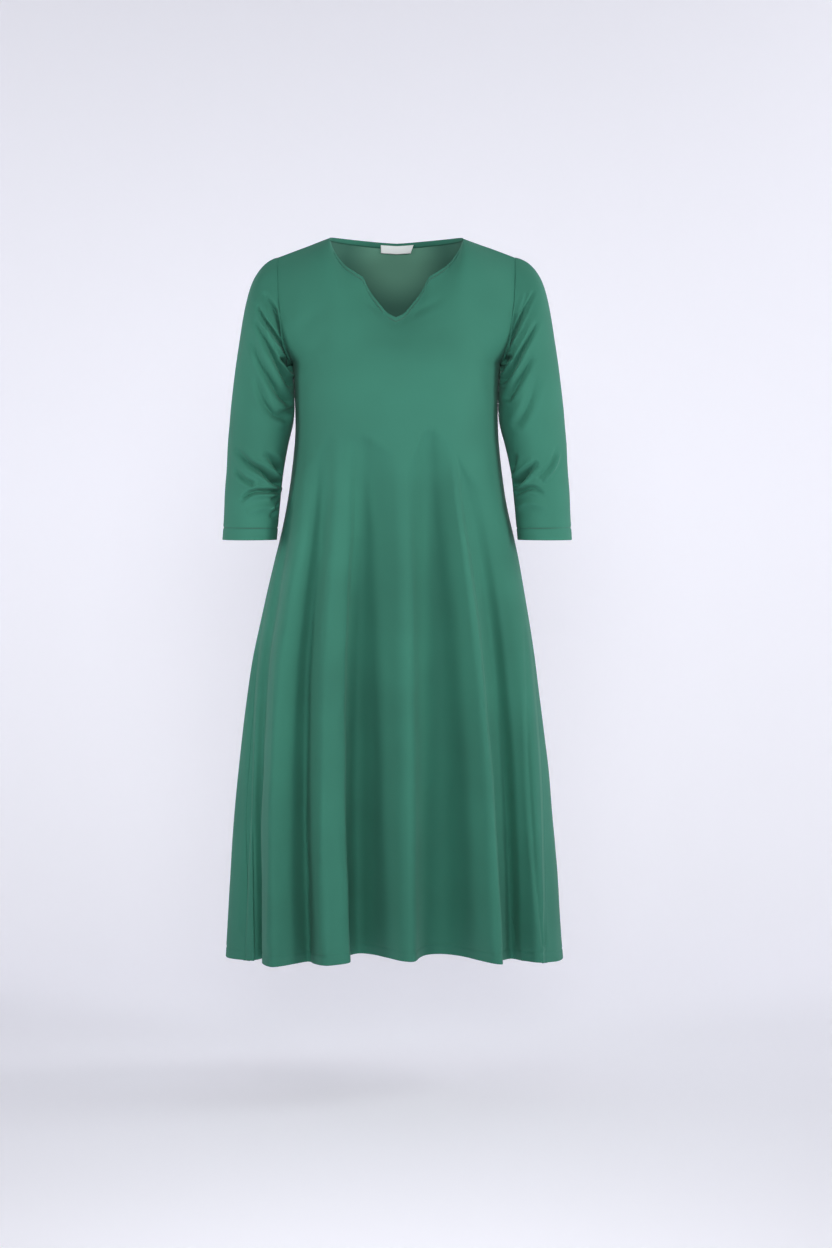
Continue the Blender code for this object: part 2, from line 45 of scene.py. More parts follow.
dress = {
    "clothThickness": 0.75 * mm,
    "turnRadius": 0.85 * mm,       # roundness of every turned edge
    "turnBends": (0, 36, 72, 108, 144, 180),
    "turnedShares": (0.3, 0.65, 1.0),   # rows of the strip that lies inside
    "seamAllowance": 6 * mm,
    "hemDepth": 15 * mm,
    "cuffDepth": 18 * mm,
    "neckTurn": 8 * mm,
    "underarmDrop": 190 * mm,
    "neckHalfWidth": 100 * mm,
    "backNeckDepth": 76 * mm,
    "neckTipDrop": 3 * mm,         # how far the edge sinks at the neck points
    "backNeckDrop": 4.3 * mm,
    "backNeckRise": 3.8 * mm,      # how high the edge swells beside the neck points
    "backNeckPeak": 0.75,          # below 1 brings the swell nearer to them
    "neckAngle": 55.0,             # where the shoulder seam ends and the neckline starts
    "armholeBlend": 52.0,          # degrees from the side seam over which the armhole bends the cloth
    "slopeFall": 0.02,             # share of the skirt that gives its slope at the underarm
    # kinks are spread out between these distances below the top edge
    "evenPasses": 60,
    "evenFrom": (4 * mm, 40 * mm),
    "evenTo": (190 * mm, 110 * mm),
    "seamSide": (3, 24),           # degrees from a side seam over which kinks and waves matter
    "neckBlend": 8,                # degrees over which the neckline's band sets in
    "neckRollWidth": 1.3 * mm,
    "stitchDepth": 0.8 * mm,
    "stitchWidth": 1.4 * mm,
    "waveLength": 0.07,
    "waveHeight": 1.2 * mm,
    "waveRise": 0.04,              # how far from the hem the waves reach their height
    "squareness": 0.035,
    "foldFullness": 0.65,
    "shoulderLean": 82.0,
    "backCentreLean": 14.0,
    # in mm: drop below the neck points, then the reach to left, right, front and back
    "sectionColumns": ("drop", "left", "right", "front", "back"),
    "sections": (
        (150, 158, 158, 106, 98),
        (190, 155, 155, 117, 99),
        (240, 152, 152, 126, 97),
        (288, 151, 152, 126, 92),
        (345, 156, 157, 122, 90),
        (400, 164, 165, 120, 93),
        (453, 175, 177, 121, 99),
        (513, 191, 190, 123, 107),
        (573, 205, 202, 126, 114),
        (633, 218, 212, 130, 120),
        (693, 227, 220, 133, 125),
        (783, 238, 231, 137, 131),
        (873, 247, 239, 140, 136),
        (963, 253, 245, 143, 140),
        (1085, 260, 252, 146, 144),
    ),
    "bust": {"rise": 5 * mm, "spacing": 84 * mm, "drop": 245 * mm, "width": 40 * mm, "height": 55 * mm},
    # grooves beside the side seams, which cross from the front panel to the back one
    "sideGrooves": (
        ((-205, -580), (-216, -693), (-220, -783), (-223, -873), (-228, -963), (-231, -1040), 4.5, 3.2),
        ((192, -560), (197, -693), (199, -783), (204, -873), (211, -963), (222, -1064), 3.2, 3.4),
    ),
}

# the turn round the waist, in degrees, that each point of the hem falls from, where it stands,
# and the drop at which it leaves the plain section, in mm
foldColumns = ("turn", "x", "y", "drop", "start")
armholeColumns = ("rise", "x", "y", "drop")

frontPanel = {
    "name": "frontPanel",
    "node": "front_panel",
    "face": -1,
    "flat": (0.94, 1.12),
    "area": 0.66,
    "folds": (
        ("left seam", 0, -226, -46, 1080, 480),
        ("left flat", 12, -209, -54, 1078, 440),
        ("left recess", 22, -195, -56, 1076, 380),
        ("left edge", 27, -198, -98, 1075, 360),
        ("left crest", 33, -184, -135, 1074, 340),
        ("left lobe", 39, -168, -130, 1074, 330),
        ("left slope", 45, -148, -103, 1075, 320),
        ("left valley", 51, -128, -76, 1077, 310),
        ("step wall", 54, -122, -97, 1076, 300),
        ("step", 57, -109, -129, 1073, 300),
        ("step crest", 62, -90, -132, 1072, 300),
        ("inner edge", 66.5, -67, -113, 1071, 300),
        ("inner wall", 70, -72, -72, 1070.5, 300),
        ("inner recess", 74, -60, -42, 1071, 300),
        ("inner rise", 80, -37, -53, 1070, 310),
        ("centre rise", 86, -12, -92, 1068.5, 320),
        ("centre crest", 92, 13, -130, 1067, 330),
        ("centre side", 96, 29, -125, 1067.5, 330),
        ("centre step", 98.5, 35, -88, 1069, 330),
        ("right recess", 102.5, 47, -56, 1070, 300),
        ("right valley", 107.5, 74, -46, 1071, 290),
        ("right rise", 112, 101, -68, 1071, 300),
        ("right crest", 116, 126, -104, 1071, 305),
        ("right lobe", 118.5, 144, -126, 1071, 310),
        ("right edge", 121, 157, -118, 1073, 320),
        ("outer wall", 123, 154, -84, 1075, 335),
        ("outer valley", 126, 164, -51, 1078, 350),
        ("outer flat", 138, 188, -62, 1078, 370),
        ("outer crest", 152, 206, -76, 1078, 390),
        ("outer edge", 166, 218, -73, 1079, 430),
        ("right seam", 180, 223, -60, 1081, 480),
    ),
    "armhole": (
        (0.00, 155.0, 0.0, 190),
        (0.10, 156.0, -20.0, 185.5),
        (0.20, 160.5, -37.0, 172),
        (0.35, 166.0, -48.5, 151),
        (0.50, 170.0, -51.0, 127),
        (0.65, 173.5, -46.0, 101),
        (0.80, 176.0, -33.0, 73),
        (0.90, 177.0, -17.0, 51),
        (1.00, 177.0, 6.0, 31),
    ),
    # neckline from the neck point to the notch, and from the notch to the V
    "neckColumns": ("angle", "x", "y", "drop", "lean"),
    "neckSide": (
        (55.0, 100.0, 0.0, 3, 74),
        (60.5, 91.5, -22.0, 25, 62),
        (66.5, 76.0, -40.0, 46, 50),
        (71.0, 60.0, -50.5, 57.5, 43),
        (74.0, 49.0, -55.5, 64.5, 40),
    ),
    "neckNotch": (
        (74.0, 49.0, -55.5, 64.5, 40),
        (78.5, 38.0, -65.0, 87, 36),
        (83.0, 24.0, -73.0, 106, 33),
        (87.0, 11.5, -78.5, 120, 31),
        (90.0, 0.0, -81.0, 125.5, 30),
    ),
    # turns where the spacing of the columns changes, with the steps up to each
    "columns": (
        (0, 0), (3, 5), (22, 17), (32, 16), (48, 14), (55, 7), (64, 9), (74, 20), (80, 8), (90, 9),
        (96, 6), (102, 10), (112, 12), (117, 10), (124, 16), (130, 9), (150, 12), (160, 6), (177, 12),
        (180, 5),
    ),
    "skirtRows": 146,
    "chestRows": 30,
    # the facing makes a soft raised band along the neckline, with a small roll at its edge
    "neckBand": 0.6 * mm,
    "neckBandReach": (16 * mm, 5 * mm),
    "neckRoll": 0.3 * mm,
    "neckRollPlace": 1.6 * mm,
    # x and height of each place along a crease, then its depth and half width, all in mm
    "creases": (
        # drag lines beside the V
        ((-54, -92), (-40, -101), (-28, -108), (-19, -114), 1.5, 4.5),
        ((74, -88), (56, -99), (40, -107), (28, -114), 1.7, 5.0),
        # soft pulls from the armholes over the chest
        ((-96, -104), (-122, -118), (-146, -140), 1.2, 8),
        ((-100, -152), (-124, -168), (-142, -192), 1.4, 8),
        ((-112, -186), (-130, -208), (-141, -236), 1.2, 8),
        ((98, -100), (124, -116), (147, -138), 1.2, 8),
        ((104, -150), (126, -166), (143, -188), 1.4, 8),
        ((112, -184), (130, -206), (141, -230), 1.2, 8),
        # slight hollow of the upper chest
        ((-70, -140), (-20, -152), (30, -152), (78, -138), 1.6, 20),
        # crisp ridges down the fold edges of the skirt
        ((-176, -540), (-184, -693), (-187, -783), (-190, -873), (-193, -963), (-196, -1064), -1.3, 3.6),
        ((-100, -520), (-107, -693), (-110, -783), (-113, -873), (-115, -963), (-115, -1064), -1.2, 3.2),
        ((-76, -560), (-76, -693), (-73, -783), (-73, -873), (-70, -963), (-68, -1064), -0.9, 3.2),
        ((124, -480), (125, -603), (130, -693), (136, -783), (143, -873), (151, -963), (161, -1064),
         -1.0, 3.4),
    ),
}

backPanel = {
    "name": "backPanel",
    "node": "back_panel",
    "face": 1,
    "flat": (0.97, 1.12),
    "area": 0.68,
    "folds": (
        ("right turn", 189, 242, -32, 1084, 480),
        ("right side", 200, 252, 4, 1085, 440),
        ("right flank", 212, 244, 42, 1084, 400),
        ("first recess", 222, 219, 64, 1082, 360),
        ("first rise", 229, 205, 86, 1080, 350),
        ("first crest", 236, 184, 126, 1078, 340),
        ("first lobe", 243, 158, 136, 1077, 330),
        ("first edge", 249, 129, 122, 1076, 320),
        ("second recess", 255, 112, 84, 1076, 310),
        ("second rise", 261, 90, 90, 1075, 310),
        ("second crest", 267, 64, 136, 1074, 320),
        ("second lobe", 273, 36, 148, 1073, 320),
        ("second edge", 278, 13, 134, 1073, 310),
        ("third recess", 283, 1, 92, 1073, 300),
        ("third rise", 289, -24, 90, 1073, 310),
        ("third crest", 295, -47, 132, 1074, 320),
        ("third lobe", 301, -78, 146, 1075, 330),
        ("third edge", 307, -108, 136, 1076, 320),
        ("fourth recess", 313, -126, 94, 1077, 310),
        ("fourth rise", 320, -151, 90, 1078, 320),
        ("fourth crest", 327, -180, 116, 1079, 340),
        ("fourth lobe", 335, -209, 104, 1081, 370),
        ("left flank", 344, -241, 62, 1083, 420),
        ("left side", 351, -259, 18, 1083, 450),
        ("left turn", 356, -252, -18, 1082, 480),
    ),
    "armhole": (
        (0.00, 155.0, 0.0, 190),
        (0.10, 156.0, 20.0, 185),
        (0.20, 160.0, 38.0, 170),
        (0.35, 165.0, 51.0, 146),
        (0.50, 168.5, 57.0, 120),
        (0.65, 172.0, 56.0, 93),
        (0.80, 175.0, 47.0, 66),
        (0.90, 176.5, 31.0, 46),
        (1.00, 177.0, 6.0, 31),
    ),
    "columns": (
        (360, 0), (357, 5), (340, 15), (318, 20), (305, 13), (290, 15), (270, 20),
        (252, 18), (235, 16), (220, 14), (200, 17), (183, 14), (180, 5),
    ),
    "skirtRows": 130,
    "chestRows": 34,
    # a narrow turned edge, stitched down
    "neckBand": 0.3 * mm,
    "neckRoll": -0.6 * mm,
    "neckRollPlace": 5 * mm,
    "creases": (
        ((96, -60), (120, -92), (142, -130), 1.8, 9),
        ((90, -128), (118, -150), (140, -182), 2.0, 10),
        ((-94, -66), (-120, -96), (-143, -132), 1.8, 9),
        ((-88, -134), (-116, -152), (-140, -178), 2.0, 10),
        ((-60, -262), (-20, -274), (40, -268), (76, -256), 1.8, 13),
        ((-112, -300), (-78, -322), (-38, -330), 1.8, 10),
    ),
}


def named(columns, rows):          # the columns of a table by name
    skip = len(rows[0]) - len(columns)
    return dict(zip(columns, np.array([row[skip:] for row in rows], float).T))


def smoothly(knots, values, at):   # a smooth curve through a table's values
    knots, values = np.asarray(knots, float), np.asarray(values, float)
    slopes = np.gradient(values, knots, axis=0)
    place = np.clip(np.asarray(at, float), knots[0], knots[-1])
    low = np.clip(np.searchsorted(knots, place, side="right") - 1, 0, len(knots) - 2)
    step = knots[low + 1] - knots[low]
    t = (place - knots[low]) / step
    if values.ndim > 1:
        t, step = t[..., None], step[..., None]
    return between(values[low], values[low + 1], slopes[low] * step, slopes[low + 1] * step, t)


def between(start, end, leave, arrive, t):
    return (start * (2 * t**3 - 3 * t**2 + 1) + end * (3 * t**2 - 2 * t**3)
            + leave * (t**3 - 2 * t**2 + t) + arrive * (t**3 - t**2))


def unit(vectors):
    return vectors / np.maximum(np.linalg.norm(vectors, axis=-1, keepdims=True), 1e-12)


def ramp(value, low, high):        # 0 at low and 1 at high, soft between, either way round
    t = np.clip((value - low) / (high - low), 0.0, 1.0)
    return t * t * (3 - 2 * t)


def ridge(distance, place, width):  # a soft ridge, 1 at its place
    return np.exp(-((distance - place) / width) ** 2)


sections = named(dress["sectionColumns"], dress["sections"])
allFolds = named(foldColumns, frontPanel["folds"] + backPanel["folds"])
lap = 3                             # points repeated past each end, so the hem closes smoothly
hemTurns = np.concatenate([allFolds["turn"][-lap:] - 360, allFolds["turn"], allFolds["turn"][:lap] + 360])
hemPoints = np.stack([allFolds["x"], allFolds["y"], allFolds["drop"], allFolds["start"]], -1) * mm
hemPoints = np.concatenate([hemPoints[-lap:], hemPoints, hemPoints[:lap]])


def sideAndAngle(face, turn):      # which side, and the angle from its side seam
    within = turn if face < 0 else 360.0 - turn
    return np.where(within <= 90.0, -1.0, 1.0), np.where(within <= 90.0, within, 180.0 - within)


def plainSection(face, turn, drop):
    side, angle = sideAndAngle(face, turn)
    size = {name: smoothly(sections["drop"] * mm, sections[name] * mm, drop)
            for name in dress["sectionColumns"]}
    radians, square, bust = np.radians(angle), dress["squareness"], dress["bust"]
    across = (1 + square) * np.cos(radians) - square * np.cos(3 * radians)
    out = (1 + square) * np.sin(radians) + square * np.sin(3 * radians)
    x = side * np.where(side < 0, size["left"], size["right"]) * across
    y = face * size["front" if face < 0 else "back"] * out
    if face < 0:
        swell = ridge(np.abs(x), bust["spacing"], bust["width"])
        y = y - bust["rise"] * swell * ridge(drop, bust["drop"], bust["height"]) * out
    return np.stack([x, y, -drop + 0.0 * x], -1)


def skirtPoint(face, turn, fall):  # fall 0 is the underarm, 1 the hem
    hem = smoothly(hemTurns, hemPoints, np.mod(turn, 360.0))
    hemDrop, start = hem[..., 2], hem[..., 3]
    drop = dress["underarmDrop"] + fall * (hemDrop - dress["underarmDrop"])
    plain, plainHem = plainSection(face, turn, drop), plainSection(face, turn, hemDrop)
    grown = np.clip((drop - start) / (hemDrop - start), 0.0, 1.0)
    shift = hem[..., :2] - plainHem[..., :2]
    plain[..., 0] += shift[..., 0] * grown
    plain[..., 1] += shift[..., 1] * grown ** dress["foldFullness"]
    return plain


def armhole(panel, rise):
    edge = named(armholeColumns, panel["armhole"])
    return smoothly(edge["rise"], np.stack([edge["x"], edge["y"], -edge["drop"]], -1) * mm, rise)


def topEdge(panel, angle):         # shoulder seam and neckline on the +X side, and the cloth's lean there
    tip, neckAngle = armhole(panel, np.array(1.0)), dress["neckAngle"]
    along = np.clip(angle / neckAngle, 0.0, 1.0)
    points = tip + along[..., None] * (np.array([dress["neckHalfWidth"], 0.0, -dress["neckTipDrop"]]) - tip)
    if panel["face"] < 0:
        lean = dress["shoulderLean"] + along * (panel["neckSide"][0][4] - dress["shoulderLean"])
        for rows in (panel["neckSide"], panel["neckNotch"]):
            neck = named(panel["neckColumns"], rows)
            edge = np.stack([neck["x"], neck["y"], -neck["drop"]], -1) * mm
            inside = (angle > rows[0][0]) & (angle <= rows[-1][0])
            points = np.where(inside[..., None], smoothly(neck["angle"], edge, angle), points)
            lean = np.where(inside, smoothly(neck["angle"], neck["lean"], angle), lean)
        return points, lean
    turned = np.clip((angle - neckAngle) / (90.0 - neckAngle), 0.0, 1.0)
    quarter = np.radians(90.0 * turned)
    rise = dress["backNeckRise"] * np.sin(math.pi * turned ** dress["backNeckPeak"])
    rise = rise - dress["neckTipDrop"] * np.cos(quarter) ** 2
    neck = np.stack([dress["neckHalfWidth"] * np.cos(quarter), dress["backNeckDepth"] * np.sin(quarter),
                     rise - dress["backNeckDrop"] * np.sin(quarter) ** 2], -1)
    lean = dress["shoulderLean"] + turned**0.5 * (dress["backCentreLean"] - dress["shoulderLean"])
    return np.where((angle > neckAngle)[..., None], neck, points), lean


def chestPoint(panel, turn, rise):  # rise 0 is the underarm, 1 the shoulder or neckline
    face = panel["face"]
    side, angle = sideAndAngle(face, turn)
    start = skirtPoint(face, turn, 0.0 * turn)
    below = skirtPoint(face, turn, 0.0 * turn + dress["slopeFall"])
    start[..., 0] *= side
    below[..., 0] *= side
    end, lean = topEdge(panel, angle)
    reach = np.linalg.norm(end - start, axis=-1)[..., None]
    back = -face * np.sin(np.radians(lean))
    arrive = np.stack([0 * lean, back, np.cos(np.radians(lean))], -1) * reach
    surface = between(start, end, unit(start - below) * reach, arrive, rise[..., None])
    seamStart, seamEnd = armhole(panel, np.array(0.0)), armhole(panel, np.array(1.0))
    seamReach = np.linalg.norm(seamEnd - seamStart)
    seam = armhole(panel, rise)
    straight = between(seamStart, seamEnd, np.array([0, 0, seamReach]), np.array([0, -face * seamReach, 0]),
                       rise[..., None])
    near = np.clip(1.0 - angle / dress["armholeBlend"], 0.0, 1.0)
    surface = surface + (near**2 * (3 - 2 * near))[..., None] * (seam - straight)
    surface[angle == 0.0] = seam[angle == 0.0]
    surface[..., 0] *= side
    return surface


# cloth as a grid of points: normals, creases and turned edges

def normalsOf(points, outward):    # outward is 1 or -1 for grids that run the other way
    across = np.gradient(points, axis=1)
    up = np.gradient(points, axis=0)
    return unit(np.cross(across, up)) * outward


def turnEdge(points, normals, first, width):
    # rounds one edge of the grid and lays a strip of the cloth back inside it
    radius = dress["turnRadius"]
    edge, normal = (grid[0 if first else -1] for grid in (points, normals))
    inner = points[1 if first else -2]
    inward = unit(inner - edge)
    bends = np.radians(dress["turnBends"])
    steps = [(radius * (1 - math.sin(bend)), radius * (1 - math.cos(bend))) for bend in bends]
    steps += [(radius + width * share, 2 * radius) for share in dress["turnedShares"]]
    extra = np.array([edge + inward * along - normal * down for along, down in steps])
    extraNormals = np.array([normal] * len(steps))
    if first:
        return (np.concatenate([extra[::-1], points[1:]]), np.concatenate([extraNormals[::-1], normals[1:]]))
    return np.concatenate([points[:-1], extra]), np.concatenate([normals[:-1], extraNormals])


def swapped(grid):
    return np.swapaxes(grid, 0, 1)


# creases are laid out as they look from the view's distance, in front and behind
view = {"distance": 4.0, "x": 0.02925, "height": -0.3705}

# how a crease grows along its line, and its trough and rims across it
crease = {
    "samples": 25,
    "reach": 3,                    # half widths past its line
    "growth": 0.75,                # 1 would let it end as faint as it starts
    "growthPower": 0.7,
    "troughPower": 1.4,
    "rimHeight": 0.25,             # share of its depth
    "rimPlace": 2.0,               # half widths from its line
}


def seenFrom(face, points):        # x and height of each point as they look from there
    nearer = view["distance"] / (view["distance"] - face * points[..., 1])
    middle = np.array([view["x"] if face < 0 else 0.0, view["height"]])
    return middle + (points[..., [0, 2]] - middle) * nearer[..., None]


def pressed(points, normals, face, creases, side=1, fadeOut=(0.02, 0.3)):
    # soft troughs (depth above 0) and ridges (below 0) along short bent lines on the front or the back;
    # each starts faint at its first place and is deepest two thirds of the way to its last
    moved = np.zeros(points.shape[:2])
    places = seenFrom(face, points * np.array([side, 1, 1]))
    facing = ramp(face * normals[..., 1], *fadeOut)
    for *line, depth, width in creases:
        knots = np.array(line, float)
        path = smoothly(np.linspace(0, 1, len(knots)), knots, np.linspace(0, 1, crease["samples"])) * mm
        low, high = path.min(0) - crease["reach"] * width * mm, path.max(0) + crease["reach"] * width * mm
        near = np.all((places > low) & (places < high), axis=-1) & (facing > 0)
        if not near.any():
            continue
        here = places[near]
        best, where = np.full(len(here), 1e9), np.zeros(len(here))
        for step in range(len(path) - 1):
            run = path[step + 1] - path[step]
            t = np.clip((here - path[step]) @ run / max(run @ run, 1e-12), 0, 1)
            away = np.linalg.norm(here - path[step] - t[:, None] * run, axis=-1)
            closer = away < best
            best[closer], where[closer] = away[closer], (step + t[closer]) / (len(path) - 1)
        taper = np.sin(np.pi * crease["growth"] * where) ** crease["growthPower"]
        across = best / (width * mm)
        trough = np.exp(-across ** crease["troughPower"])
        rim = crease["rimHeight"] * ridge(across, crease["rimPlace"], 1.0)
        moved[near] += depth * mm * taper * (trough - rim)
    return points - normals * (moved * facing)[..., None]


def unevenness(points, size, height):   # slow, slight waviness that no real cloth is without
    values = np.array([noise.noise(Vector(place) / size) for place in points.reshape(-1, 3)])
    return values.reshape(points.shape[:2]) * height


def clothUvs(points):              # metres along the cloth, so the knit keeps its gauge
    across = np.linalg.norm(np.diff(points, axis=1), axis=-1)
    up = np.linalg.norm(np.diff(points, axis=0), axis=-1)
    u = np.concatenate([np.zeros((points.shape[0], 1)), np.cumsum(across, axis=1)], axis=1)
    u -= u[:, [points.shape[1] // 2]]
    v = np.concatenate([np.zeros((1, points.shape[1])), np.cumsum(up, axis=0)], axis=0)
    return np.stack([u, v], -1)


def clothObject(name, points, materials, closed, flipped):
    rows, columns = points.shape[:2]
    bm = bmesh.new()
    bmesh.ops.create_grid(bm, x_segments=columns - 1, y_segments=rows - 1, size=1.0)
    weave = bm.loops.layers.uv.new("weave")
    places = clothUvs(points).reshape(-1, 2)
    for vert, place in zip(bm.verts, points.reshape(-1, 3)):
        vert.co = place
    for face in bm.faces:
        for loop in face.loops:
            loop[weave].uv = places[loop.vert.index]
        face.smooth = True
    if closed:
        bmesh.ops.remove_doubles(bm, verts=bm.verts, dist=1e-6)
    if flipped:
        bmesh.ops.reverse_faces(bm, faces=bm.faces)
    mesh = bpy.data.meshes.new(name)
    bm.to_mesh(mesh)
    bm.free()
    piece = bpy.data.objects.new(name, mesh)
    bpy.context.scene.collection.objects.link(piece)
    for material in materials:
        mesh.materials.append(material)
    wall = piece.modifiers.new("cloth", "SOLIDIFY")
    wall.thickness, wall.offset = dress["clothThickness"], -1.0
    wall.use_quality_normals = True
    wall.material_offset = len(materials) - 1
    return piece


# the jersey

jersey = {
    "colour": (0.046, 0.222, 0.155),
    "shade": (0.038, 0.189, 0.131),     # darker loops of the knit
    "insideColour": (0.053, 0.168, 0.123),
    "insideShade": (0.045, 0.143, 0.105),
    # painted light: round the middle of the back neck the inside is painted lighter, as if lit more there,
    # running out between the two distances given
    "paintedLightColour": (0.155, 0.395, 0.285),
    "paintedLightMiddle": (0.0, 0.07, -0.03),
    "paintedLightReach": (25 * mm, 80 * mm),
    "waleWidth": 1.1,                   # mm
    "waveRepeat": 0.314,                # a wave texture of scale 1 repeats at this length
    "stretch": (0.9, 0.45, 1),          # loops are taller than wide
    "toneScale": 7.0,
    "toneShare": 0.35,
    "bump": 0.25,
    "bumpHeight": 0.15 * mm,
    "roughness": 0.8,
    "roughnessSpread": 0.06,
    "sheen": 0.08,
    "sheenRoughness": 0.5,
    "sheenTint": (0.55, 0.85, 0.75),
    "gloss": 0.2,
}


def add(tree, kind, place, **values):
    made = tree.nodes.new(kind)
    made.location = place
    for key, value in values.items():
        if hasattr(made, key):
            setattr(made, key, value)
        else:
            made.inputs[key.replace("_", " ")].default_value = value
    return made


def wire(tree, *pairs):
    for source, target in zip(pairs[::2], pairs[1::2]):
        tree.links.new(source, target)


def jerseyMaterial(name, colour, shade, paintedLight=False):
    material = bpy.data.materials.new(name)
    material.use_nodes = True
    tree = material.node_tree
    shader = tree.nodes["Principled BSDF"]
    cloth = add(tree, "ShaderNodeUVMap", (-1500, 0), uv_map="weave")
    inMm = add(tree, "ShaderNodeMapping", (-1300, 0), Scale=(1000, 1000, 1000))
    wales = add(tree, "ShaderNodeTexWave", (-1050, 250), Scale=jersey["waveRepeat"] / jersey["waleWidth"],
                Distortion=0.6, Detail=2.0, Detail_Scale=0.4)
    stretched = add(tree, "ShaderNodeMapping", (-1050, -50), Scale=jersey["stretch"])
    loops = add(tree, "ShaderNodeTexNoise", (-850, -50), Scale=1.0, Detail=3.0, Roughness=0.6)
    tone = add(tree, "ShaderNodeTexNoise", (-850, -300), Scale=jersey["toneScale"], Detail=2.0)
    place = add(tree, "ShaderNodeTexCoord", (-1050, -300))
    mixed = add(tree, "ShaderNodeMix", (-500, 100), data_type="RGBA")
    mixed.inputs[6].default_value, mixed.inputs[7].default_value = (*shade, 1), (*colour, 1)
    tint = add(tree, "ShaderNodeMix", (-300, 100), data_type="RGBA", blend_type="MULTIPLY")
    tint.inputs[0].default_value = jersey["toneShare"]
    wire(tree, cloth.outputs[0], inMm.inputs[0], inMm.outputs[0], wales.inputs[0],
         inMm.outputs[0], stretched.inputs[0], stretched.outputs[0], loops.inputs[0],
         place.outputs["Object"], tone.inputs[0], loops.outputs[0], mixed.inputs[0],
         mixed.outputs[2], tint.inputs[6], tone.outputs[0], tint.inputs[7],
         tint.outputs[2], shader.inputs["Base Color"])
    # painted light: a lighter patch painted round the middle of the back neck
    if paintedLight:
        away = add(tree, "ShaderNodeVectorMath", (-850, -550), operation="DISTANCE")
        away.inputs[1].default_value = jersey["paintedLightMiddle"]
        near, far = jersey["paintedLightReach"]
        paintedLightFade = add(tree, "ShaderNodeMapRange", (-650, -550), interpolation_type="SMOOTHSTEP",
                   From_Min=near, From_Max=far, To_Min=1.0, To_Max=0.0)
        paintedLightMix = add(tree, "ShaderNodeMix", (-400, 350), data_type="RGBA")
        paintedLightMix.inputs[7].default_value = (*jersey["paintedLightColour"], 1)
        wire(tree, place.outputs["Object"], away.inputs[0], away.outputs["Value"], paintedLightFade.inputs[0],
             paintedLightFade.outputs[0], paintedLightMix.inputs[0], mixed.outputs[2], paintedLightMix.inputs[6],
             paintedLightMix.outputs[2], tint.inputs[6])
    grain = add(tree, "ShaderNodeMix", (-600, -200), data_type="FLOAT")
    grain.inputs[0].default_value = 0.5
    wire(tree, wales.outputs[1], grain.inputs[2], loops.outputs[0], grain.inputs[3])
    bump = add(tree, "ShaderNodeBump", (-300, -250), Strength=jersey["bump"],
               Distance=jersey["bumpHeight"])
    rough = add(tree, "ShaderNodeMapRange", (-300, -50))
    rough.inputs["To Min"].default_value = jersey["roughness"] - jersey["roughnessSpread"]
    rough.inputs["To Max"].default_value = jersey["roughness"] + jersey["roughnessSpread"]
    wire(tree, grain.outputs[0], bump.inputs["Height"], bump.outputs[0], shader.inputs["Normal"],
         loops.outputs[0], rough.inputs[0], rough.outputs[0], shader.inputs["Roughness"])
    shader.inputs["Sheen Weight"].default_value = jersey["sheen"]
    shader.inputs["Sheen Roughness"].default_value = jersey["sheenRoughness"]
    shader.inputs["Sheen Tint"].default_value = (*jersey["sheenTint"], 1)
    shader.inputs["Specular IOR Level"].default_value = jersey["gloss"]
    return material


jerseyOut = jerseyMaterial("emeraldJersey", jersey["colour"], jersey["shade"])
# the inside carries a patch of painted light round the middle of the back neck
jerseyIn = jerseyMaterial("emeraldJerseyInside", jersey["insideColour"], jersey["insideShade"], True)
print("materials ready")


# front and back panels

def columnTurns(panel):
    turns = [float(panel["columns"][0][0])]
    for turn, steps in panel["columns"][1:]:
        turns += list(np.linspace(turns[-1], turn, steps + 1)[1:])
    return np.array(turns)


# distances of the finest rows from the hem, and from the top edge
hemSteps = np.array([0, 1.6, 3, 5, 7.5, 10, 12, 13.5, 15, 16.5, 18, 20.5, 24, 28, 33]) * mm
topSteps = np.array([15, 11.5, 9, 7, 5.5, 4.2, 3.0, 1.7, 0]) * mm


def panelPoints(panel):
    turns, face = columnTurns(panel), panel["face"]
    side, angle = sideAndAngle(face, turns)
    length = smoothly(hemTurns, hemPoints, np.mod(turns, 360.0))[:, 2] - dress["underarmDrop"]
    rows, fromHem = [], []
    far = np.full(len(turns), 1.0)     # for rows that lie too far off for an edge to matter
    for step in hemSteps:
        rows.append(skirtPoint(face, turns, 1 - step / length))
        fromHem.append(np.full(len(turns), step))
    for share in np.linspace(1, 0, panel["skirtRows"] + 1)[1:]:
        fall = share * (1 - hemSteps[-1] / length)
        rows.append(skirtPoint(face, turns, fall))
        fromHem.append((1 - fall) * length)
    top, _ = topEdge(panel, angle)
    start = skirtPoint(face, turns, 0 * turns)
    start[:, 0] *= side
    reach = np.linalg.norm(top - start, axis=-1)
    fromTop = [far] * len(rows)
    for share in np.linspace(0, 1, panel["chestRows"] + 1)[1:]:
        rise = share * (1 - topSteps[0] / reach)
        rows.append(chestPoint(panel, turns, rise))
        fromTop.append((1 - rise) * reach)
    for step in topSteps[1:]:
        rows.append(chestPoint(panel, turns, 1 - step / reach))
        fromTop.append(np.full(len(turns), step))
    fromHem += [far] * (len(rows) - len(fromHem))
    return np.array(rows), np.array(fromHem), np.array(fromTop), angle


def evened(points, share):         # spreads out the kinks that run down from the neck points
    smooth = points.copy()
    for _ in range(dress["evenPasses"]):
        smooth[:, 1:-1] = (smooth[:, :-2] + 2 * smooth[:, 1:-1] + smooth[:, 2:]) / 4
    return points + (smooth - points) * share[..., None]


